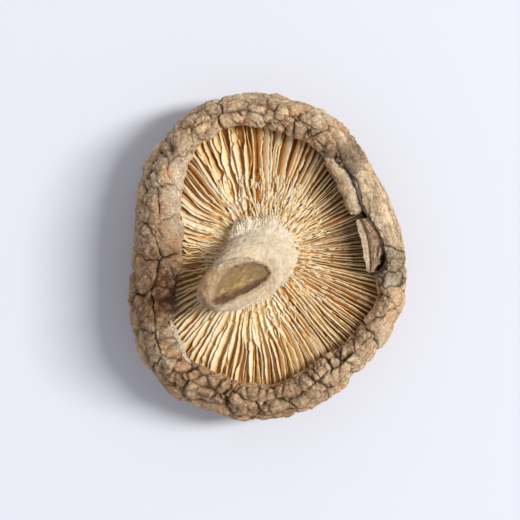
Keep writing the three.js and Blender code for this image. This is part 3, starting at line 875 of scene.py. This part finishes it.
# The bed's colour is painted shade: darker where it lies lower, and lighter where the lamp's light gets
# between the blades.
bed_lightness = 0.1 + 0.3 * bed_rise + 0.3 * lit_gaps(signed(bed_angles))
bed = closed_grid("gill_bed", np.dstack([bed_plan, bed_height])[::-1], None, {
    "height": bed_lightness[::-1], "tint": 0 * bed_rise, "fibre": bed_run[::-1],
})

# Dried gill flesh: papery and matt, cream at the edges and amber towards the bed: painted shade, warmed like
# light that comes through the blades. The fibre attribute counts millimetres up the blade, where streaks are
# 0.3 mm wide and flecks 0.1 mm.
gill_material, tree = empty_material("dried_gill_flesh")
depth = add(tree, "ShaderNodeAttribute", attribute_name="height").outputs["Fac"]
fibre = add(tree, "ShaderNodeAttribute", attribute_name="fibre").outputs["Vector"]
streak = add(tree, "ShaderNodeTexNoise", {"Vector": fibre, "Scale": 3.0, "Detail": 4.0, "Roughness": 0.65})
streaks = add(tree, "ShaderNodeMapRange", {
    "Value": streak.outputs["Fac"], "From Min": 0.3, "From Max": 0.7, "To Min": 0.84, "To Max": 1.1,
}).outputs["Result"]
ramp = add(tree, "ShaderNodeValToRGB", {"Fac": depth})
ramp.color_ramp.elements[0].position, ramp.color_ramp.elements[0].color = 0.05, linear("#824d18")
ramp.color_ramp.elements[1].position, ramp.color_ramp.elements[1].color = 0.98, linear("#f5e9d1")
for share, tone in ((0.34, "#c79048"), (0.58, "#efca8b"), (0.8, "#fae5b8")):
    ramp.color_ramp.elements.new(share).color = linear(tone)
cream = ramp.outputs["Color"]
# Towards a duller tan: each blade's own tone, and painted shade by the tear at the right, where the rim
# shades the blades.
tint = add(tree, "ShaderNodeAttribute", attribute_name="tint").outputs["Fac"]
warmer = add(tree, "ShaderNodeMapRange", {
    "Value": tint, "From Min": 0.6, "From Max": 1.8, "To Max": 1.0,
}).outputs["Result"]
cream = add(tree, "ShaderNodeMix", {0: warmer, 6: cream, 7: linear("#d7ba8f")}, data_type="RGBA").outputs[2]
colour = add(tree, "ShaderNodeVectorMath", {0: cream, "Scale": streaks}, operation="SCALE").outputs[0]
fleck = add(tree, "ShaderNodeTexNoise", {"Vector": fibre, "Scale": 9.0, "Detail": 2.0})
flecks = add(tree, "ShaderNodeMapRange", {
    "Value": fleck.outputs["Fac"], "From Min": 0.68, "From Max": 0.74, "To Max": 0.5,
}).outputs["Result"]
colour = add(tree, "ShaderNodeMix", {0: flecks, 6: colour, 7: linear("#a06a2c")}, data_type="RGBA").outputs[2]
bump = add(tree, "ShaderNodeBump", {"Height": streak.outputs["Fac"], "Strength": 0.5, "Distance": 0.12 * MM})
shader = add(tree, "ShaderNodeBsdfPrincipled", {
    "Base Color": colour, "Roughness": 0.8, "IOR": 1.45, "Specular IOR Level": 0.15,
    "Normal": bump.outputs["Normal"],
})
add(tree, "ShaderNodeOutputMaterial", {"Surface": shader.outputs["BSDF"]})
for piece in (*gills, bed):
    piece.data.materials.append(gill_material)
    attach(piece, "root")
    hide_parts("gills")

# Stem: the short felted stalk, grown into the cap. It flares in a frayed collar over the gills' inner
# ends, leans over, and is cut off on the slant. The cut has shrunk into a hollow with a dark fold.
cut_middle = np.array([-5.0, -4.4, 20.0])
cut_long = np.array([-4.9, -1.6, 1.6])
cut_across = np.array([0.7, -2.25, -0.5])
cut_normal = np.cross(cut_long, cut_across)
cut_normal = cut_normal / np.linalg.norm(cut_normal)
flat_long, flat_across = [axis * (1, 1, 0) / np.hypot(axis[0], axis[1]) for axis in (cut_long, cut_across)]
stem_foot = 6.4


def stem_level(x, y, z, long, across, bow=0.0):
    """One level ring of the stem: its middle, its two half axes, and how far it bows to one side."""
    return np.concatenate([[x, y, z], long * flat_long, across * flat_across, [bow]])


def cut_ring(long, across, sunk, bow, aside, face):
    """One ring in the plane of the cut: shares of the cut's half axes, how far it is sunk below the
    cut, its bow, how far it is moved along the shorter axis, and how far it has moved and turned from
    the stem's end towards the cut face, from 0 to 1."""
    centre = cut_middle - sunk * cut_normal - 0.115 * face * cut_long + (aside + 0.126 * face) * cut_across
    return np.concatenate([centre, long * (cut_long + 0.35 * face * cut_across), across * cut_across, [bow]])


stem_levels = np.stack([
    stem_level(*stem_base, stem_foot, 5.5, 5.5), stem_level(*stem_base, 9.9, 5.4, 5.4),
    stem_level(-1.1, 0.3, 11.0, 5.5, 5.6), stem_level(-1.3, 0.1, 11.7, 5.5, 5.7),
    stem_level(-1.9, -0.9, 12.8, 5.3, 5.1), stem_level(-2.9, -1.9, 14.5, 5.5, 5.1),
    stem_level(-3.7, -2.9, 16.3, 5.8, 4.8), cut_ring(1.1, 1.65, 2.3, 0, 0, 0.3),
    cut_ring(1.08, 1.56, 1.1, 0.1, 0.0, 0.3), cut_ring(1.05, 1.26, 0.3, 0.3, 0.0, 0.6),
    cut_ring(1.0, 1.04, 0.0, 0.45, 0.02, 1), cut_ring(0.95, 0.97, 0.12, 0.45, 0.02, 1),
    cut_ring(0.86, 0.84, 0.5, 0.45, 0, 1), cut_ring(0.48, 0.42, 0.5, 0.45, -0.05, 1),
    cut_ring(0.04, 0.04, 0.5, 0.45, -0.1, 1),
])
stem_spans = len(stem_levels) - 1
stem_columns = 300
stem_rows = np.concatenate([np.linspace(0, 1.2, 10, endpoint=False), np.linspace(1.2, stem_spans, 190)])
stem_angle = (np.arange(stem_columns) * turn / stem_columns)[None, :]
# How far along the levels each point lies: the collar is at 2 to 3, the edge of the cut at 10.
level = stem_rows[:, None] + 0 * stem_angle
rings = along(stem_levels[None], stem_rows / stem_spans)[0][:, None, :]
side = np.sin(stem_angle) - rings[..., 9] * np.sin(stem_angle) ** 2
stem_grid = (
    rings[..., 0:3] + rings[..., 3:6] * np.cos(stem_angle)[..., None] + rings[..., 6:9] * side[..., None]
)
stem_normals = normals_of(stem_grid)
on_collar = within(level, 1.5, 2.1, 3.0, 4.4)
on_circle = np.stack(np.broadcast_arrays(np.cos(stem_angle), np.sin(stem_angle), level), axis=-1)
flutes = clouds(on_circle * [1, 1, 0.02], 0.11, 25)
bearing = np.arctan2(stem_grid[..., 1] - 0.2, stem_grid[..., 0] + 1.2)
lumps = sum(
    high * bell(bearing - at, wide)
    for at, high, wide in ((0.13, 0.4, 0.08), (1.29, 0.6, 0.16), (1.95, 0.35, 0.14), (2.35, 0.4, 0.2))
)
lobes = np.sin(5 * stem_angle + 0.5 * level) + 0.6 * np.sin(9 * stem_angle + 1)
fray = clouds(on_circle * [1, 1, 0.1], 0.085, 14)
on_side = within(level, 1.2, 2.5, 9.6, 10.4)
puff = on_collar * (
    0.08 * lobes + 0.12 * fray + 0.08 * flutes + lumps + noise(stem_grid, (0.26, 0.8, 27), (0.12, 0.36, 28))
)
puff = puff + on_side * noise(stem_grid, (0.16, 1.6, 15), (0.11, 0.5, 16), (0.06, 0.25, 17))
from_cut = stem_grid - cut_middle
in_cut = np.dstack([from_cut @ cut_long / 12, from_cut @ cut_across / 2.4, 0 * level])
wrinkled = noise(in_cut, (1, 0.6, 18), (0.7, 0.28, 22))
puff = puff + smooth(level, 10.2, 11.2) * (0.27 * wrinkled + 0.05 * clouds(stem_grid, 0.4, 19))
stem_grid = stem_grid + stem_normals * puff[..., None]

# Where the felt changes colour: dark rind and fold at the edge of the cut, yellow horny flesh in it.
upper_arc = np.exp(-((signed(stem_angle + 2.4) / 1.05) ** 4))
rind = 0.85 * within(level, 10.2, 10.6, 11.0, 11.7) * upper_arc
lower_side = np.sin(stem_angle + 0.2)
lower_fold = smooth(lower_side, 0.0, 0.4) * within(level, 10.2, 10.8, 12.7, 13.5)
rind = (rind + lower_fold) * (0.95 + 0.2 * clouds(stem_grid, 0.8, 23))
cut_lip = smooth(lower_side, -0.1, 0.3) * within(level, 8.9, 9.4, 10.4, 10.8)
along_cut = ((stem_grid - cut_middle) @ cut_long) / (cut_long @ cut_long)
core = smooth(level, 10.5, 11.4) * (1 - 0.4 * smooth(along_cut, 0.4, 0.8))
yellow = core * (0.1 + 0.85 * smooth(wrinkled, 0.0, 0.5)) * smooth(level, 12.1, 13.0) + cut_lip
# Tan round the cut, and painted shade down the stem's side away from the lamp.
away_from_lamp = bell(signed(stem_angle + 0.6), 0.95)
near_cut_and_shade = np.maximum(
    smooth(level, 7.8, 9.8) * (0.5 + 0.5 * away_from_lamp), smooth(along_cut, 0.3, 1.0) * smooth(level, 6.0, 7.6),
)
near_cut_and_shade = np.maximum(near_cut_and_shade, away_from_lamp * smooth(level, 4.0, 6.5))
near_cut_and_shade = np.maximum(near_cut_and_shade, 0.35 * smooth(level, 6.6, 8.4)) * (1 - core)
near_cut_and_shade = np.clip(near_cut_and_shade * (0.9 + 0.35 * clouds(stem_grid, 1.1, 24)), 0, 1)
white = on_collar * (0.05 + 0.5 * bell(bearing - 1.9, 0.8))
stem = closed_grid("stem_felt", stem_grid, [(*stem_base, stem_foot), tuple(stem_levels[-1, :3])], {
    "rind": np.clip(rind, 0, 1), "core": core, "near_cut_and_shade": near_cut_and_shade, "white": white,
    "yellow": np.clip(yellow, 0, 1),
})

# Mushroom felt: matted fine threads, cream and very matt, darker and horny where it was cut and dried, with
# painted shade down its side away from the lamp.
# Its tufts are 1.25 mm across, which is 0.8 to the millimetre.
felt_material, tree = empty_material("mushroom_felt")
place = add(tree, "ShaderNodeTexCoord").outputs["Object"]
matted = add(tree, "ShaderNodeTexNoise", {
    "Vector": place, "Scale": 0.8 / MM, "Detail": 5.0, "Roughness": 0.65,
})
matting = add(tree, "ShaderNodeMapRange", {
    "Value": matted.outputs["Fac"], "From Min": 0.34, "From Max": 0.66,
}).outputs["Result"]
colour = add(tree, "ShaderNodeMix", {0: matting, 6: linear("#d7c09a"), 7: linear("#e7d9bf")},
             data_type="RGBA").outputs[2]
colour = layer(tree, colour, "#fbf2e0", "white", 0.7)
# Tan round the cut, and painted shade on the side away from the lamp.
colour = layer(tree, colour, "#a67b4e", "near_cut_and_shade", 0.92)
colour = layer(tree, colour, "#876a40", "core", 0.95)
colour = layer(tree, colour, "#c09d60", "yellow", 0.8)
colour = layer(tree, colour, "#664532", "rind", 0.92)
bump = add(tree, "ShaderNodeBump", {"Height": matted.outputs["Fac"], "Strength": 0.6, "Distance": 0.15 * MM})
shader = add(tree, "ShaderNodeBsdfPrincipled", {
    "Base Color": colour, "Roughness": 0.95, "IOR": 1.45, "Specular IOR Level": 0.12,
    "Sheen Weight": 0.25, "Sheen Roughness": 0.6, "Normal": bump.outputs["Normal"],
})
add(tree, "ShaderNodeOutputMaterial", {"Surface": shader.outputs["BSDF"]})

# Threads that stand off the felt, from the top of the collar to the edge of the cut.
draw = np.random.default_rng(7)
thread_count = 6000
row = draw.integers(40, 150, thread_count)
column = draw.integers(0, stem_columns, thread_count)
root_at, root_normal = stem_grid[row, column], normals_of(stem_grid)[row, column]
lie = draw.normal(size=(thread_count, 3))
lie = lie - (lie * root_normal).sum(1, keepdims=True) * root_normal
lie = lie / np.linalg.norm(lie, axis=1, keepdims=True)
reach = draw.uniform(0.15, 0.5, thread_count)[:, None]
rise = draw.uniform(0.1, 0.55, thread_count)[:, None]
steps = np.array([0.0, 0.5, 1.0])
path = np.stack([
    root_at - 0.05 * root_normal + reach * (t * lie + rise * t * (1.2 - 0.6 * t) * root_normal) for t in steps
], axis=1)
first = np.cross(root_normal, lie)
thin = 0.036 * (1 - 0.5 * steps)[None, :, None, None]
corner = np.arange(3) * turn / 3
ring = first[:, None] * np.cos(corner)[:, None] + root_normal[:, None] * np.sin(corner)[:, None]
whole = np.ones((thread_count, len(steps), len(corner)))
threads = tubes("stem_threads", path[:, :, None, :] + thin * ring[:, None], {
    "white": white[row, column][:, None, None] * whole,
    "near_cut_and_shade": near_cut_and_shade[row, column][:, None, None] * whole,
    "rind": 0 * whole, "core": 0 * whole, "yellow": 0 * whole,
})

# The collar's torn fringe: short flat tufts that lie out over the gills, longest at the top.
tuft_count = 900
tuft_bearing = draw.uniform(-np.pi, np.pi, tuft_count)
tuft_bearing = np.where(draw.random(tuft_count) < 0.5, draw.normal(1.75, 0.55, tuft_count), tuft_bearing)
longest = 0.35 + 0.55 * bell(tuft_bearing - 1.75, 0.7) + 0.35 * bell(tuft_bearing - 0.13, 0.15)
reach = 0.3 + 0.7 * longest * draw.random(tuft_count)
aim = tuft_bearing + draw.normal(0, 0.35, tuft_count)
share = np.linspace(0, 1, 4)
outwards = np.stack([np.cos(aim), np.sin(aim), 0 * aim], axis=-1)
sideways = np.stack([-np.sin(aim), np.cos(aim), 0 * aim], axis=-1)
# A tuft roots in the column of the stem that lies at its bearing in a row of the collar.
collar_row = 30
nearest = np.argmin(np.abs(signed(bearing[collar_row] - tuft_bearing[:, None])), axis=1)
tuft_row = draw.integers(26, 50, tuft_count)
foot = stem_grid[tuft_row, nearest] - 0.2 * outwards
curve = draw.normal(0, 0.2, tuft_count)
middle = (
    foot[:, None] + (share * reach[:, None])[..., None] * outwards[:, None]
    + (share ** 2 * curve[:, None])[..., None] * sideways[:, None]
)
middle[..., 2] += (share * draw.uniform(-0.2, 0.35, tuft_count)[:, None]) - 0.3 * share ** 2
broad = draw.uniform(0.08, 0.2, tuft_count)[:, None] * (1 - 0.8 * share ** 1.5)
broad = broad * draw.uniform(0.75, 1.25, (tuft_count, 4))
corner = np.arange(5) * turn / 5
tuft_rings = (
    middle[:, :, None]
    + (broad[..., None] * np.cos(corner))[..., None] * sideways[:, None, None]
    + (0.5 * broad[..., None] * np.sin(corner))[..., None] * np.array([0.0, 0.0, 1.0])
)
tufts = tubes("stem_fringe", tuft_rings, {
    key: np.full(tuft_rings.shape[:3], 0.5 * (key == "white"))
    for key in ("rind", "core", "near_cut_and_shade", "yellow", "white")
})
for piece in (stem, threads, tufts):
    piece.data.materials.append(felt_material)
    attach(piece, "root")
    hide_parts("stem")
